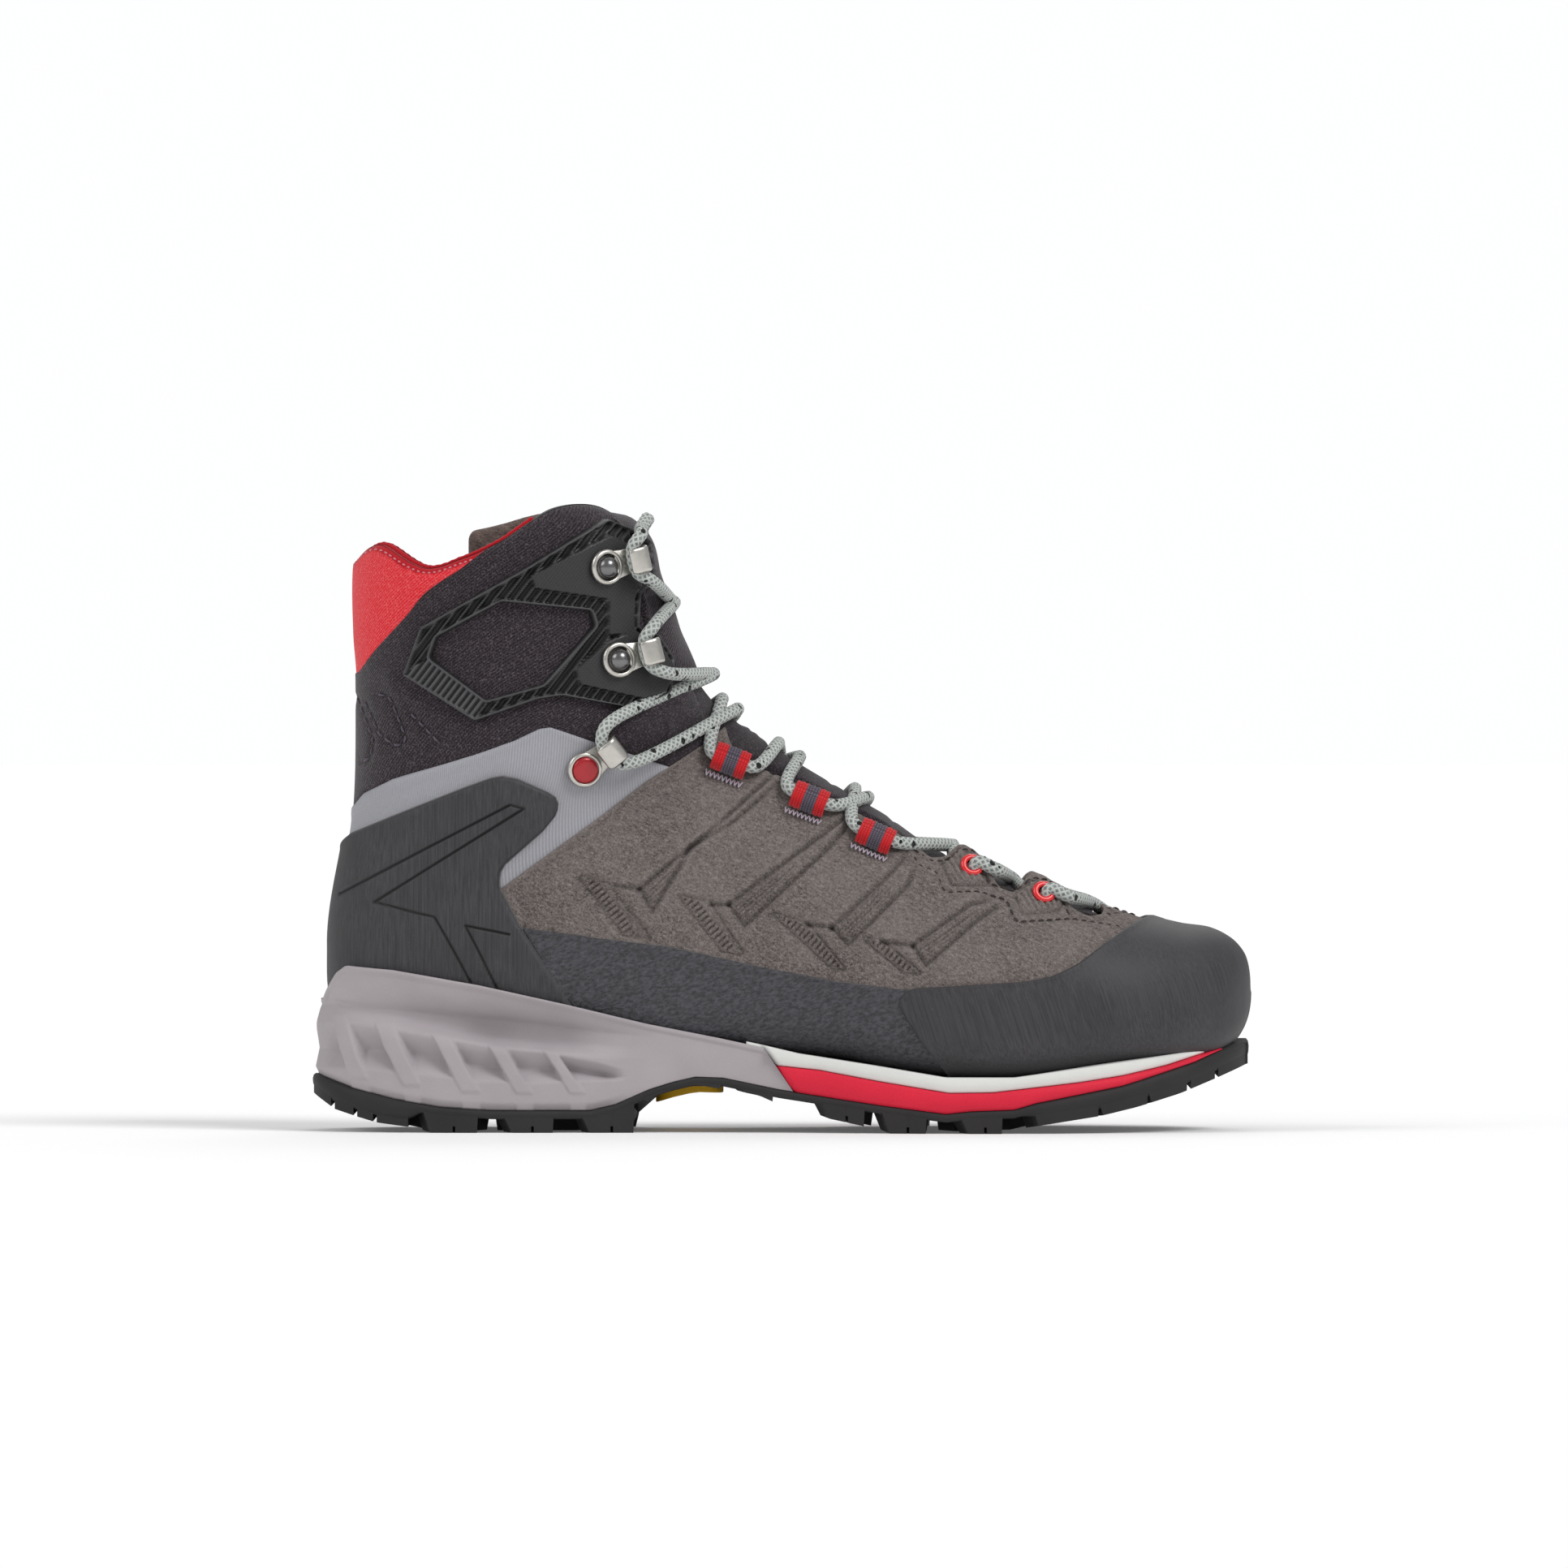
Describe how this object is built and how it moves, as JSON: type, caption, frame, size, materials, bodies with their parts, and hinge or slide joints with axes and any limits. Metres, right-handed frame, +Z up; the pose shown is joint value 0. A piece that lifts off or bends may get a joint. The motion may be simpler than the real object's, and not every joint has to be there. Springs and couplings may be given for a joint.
{
  "type": "mountaineering boot",
  "caption": "Right mountaineering boot with suede upper, rubber rands, stretch cuff, moulded cuff frames, lace hooks and a lugged, rockered sole.",
  "frame": {"origin": "on the ground under the middle of the heel, at the centre of a heel lug's flat underside", "axes": "+X towards the toe, +Y towards the inner (medial) side of the foot, +Z up"},
  "size_m": [0.3054, 0.1088, 0.2053],
  "materials": {
    "outsole_rubber": "matt moulded rubber with lugs",
    "arch_insert": "satin moulded insert",
    "heel_frame": "matt firm foam, moulded ribs",
    "foam_red": "matt moulded foam",
    "foam_white": "matt moulded foam",
    "board": "pressed fibre board",
    "steel_shank": "plain spring steel",
    "footbed": "felt covered foam",
    "stiffener": "thermoplastic sheet",
    "foam_padding": "open foam",
    "lining": "knitted lining",
    "suede": "roughed suede, embossed",
    "shell_fabric": "ribbed coated fabric",
    "rand_rubber": "matt, finely brushed",
    "side_rand": "matt pebbled",
    "stretch_black": "stretch twill",
    "stretch_red": "fine stretch knit",
    "collar_brown": "brushed microfibre",
    "cuff_frame": "moulded with fine diagonal ribs",
    "hook_steel": "satin",
    "rivet_steel": "dark satin",
    "rivet_red": "satin lacquer",
    "eyelet_red": "gloss lacquer",
    "webbing": "woven webbing, banded",
    "lace": "round braid with dark flecks"
  },
  "bodies": {
    "foot": {"outsole": "outsole_rubber", "arch_insert": "arch_insert", "heel_frame": "heel_frame", "forefoot_foam_red": "foam_red", "forefoot_foam_white": "foam_white", "shank": "steel_shank", "lasting_board": "board", "footbed": "footbed", "heel_counter": "stiffener", "toe_puff": "stiffener", "foot_lining": "lining", "ankle_shell": "shell_fabric", "suede_upper": "suede", "heel_rand": "rand_rubber", "toe_rand": "rand_rubber", "tongue": "stretch_black", "lace": "lace", "side_rand_lateral": "side_rand", "ankle_hook_lateral": "hook_steel", "ankle_hook_rivet_lateral": "rivet_red", "webbing_loop_1_lateral": "webbing", "webbing_loop_2_lateral": "webbing", "webbing_loop_3_lateral": "webbing", "eyelet_1_lateral": "eyelet_red", "eyelet_2_lateral": "eyelet_red", "side_rand_medial": "side_rand", "ankle_hook_medial": "hook_steel", "ankle_hook_rivet_medial": "rivet_red", "webbing_loop_1_medial": "webbing", "webbing_loop_2_medial": "webbing", "webbing_loop_3_medial": "webbing", "eyelet_1_medial": "eyelet_red", "eyelet_2_medial": "eyelet_red"},
    "cuff": {"cuff_shell": "stretch_black", "rear_stretch_panel": "stretch_red", "cuff_foam": "foam_padding", "cuff_lining": "lining", "collar_pad": "collar_brown", "cuff_frame_lateral": "cuff_frame", "top_hook_lateral": "hook_steel", "top_hook_rivet_lateral": "rivet_steel", "middle_hook_lateral": "hook_steel", "middle_hook_rivet_lateral": "rivet_steel", "cuff_frame_medial": "cuff_frame", "top_hook_medial": "hook_steel", "top_hook_rivet_medial": "rivet_steel", "middle_hook_medial": "hook_steel", "middle_hook_rivet_medial": "rivet_steel"}
  },
  "joints": [
    {"name": "ankle_flex", "type": "hinge", "parent": "foot", "child": "cuff", "pos_m": [0.0106, 0, 0.1155], "axis": [0, 1, 0], "range_deg": [-6, 12], "deforming": ["tongue", "lace", "cuff_shell", "foot_lining"]}
  ]
}
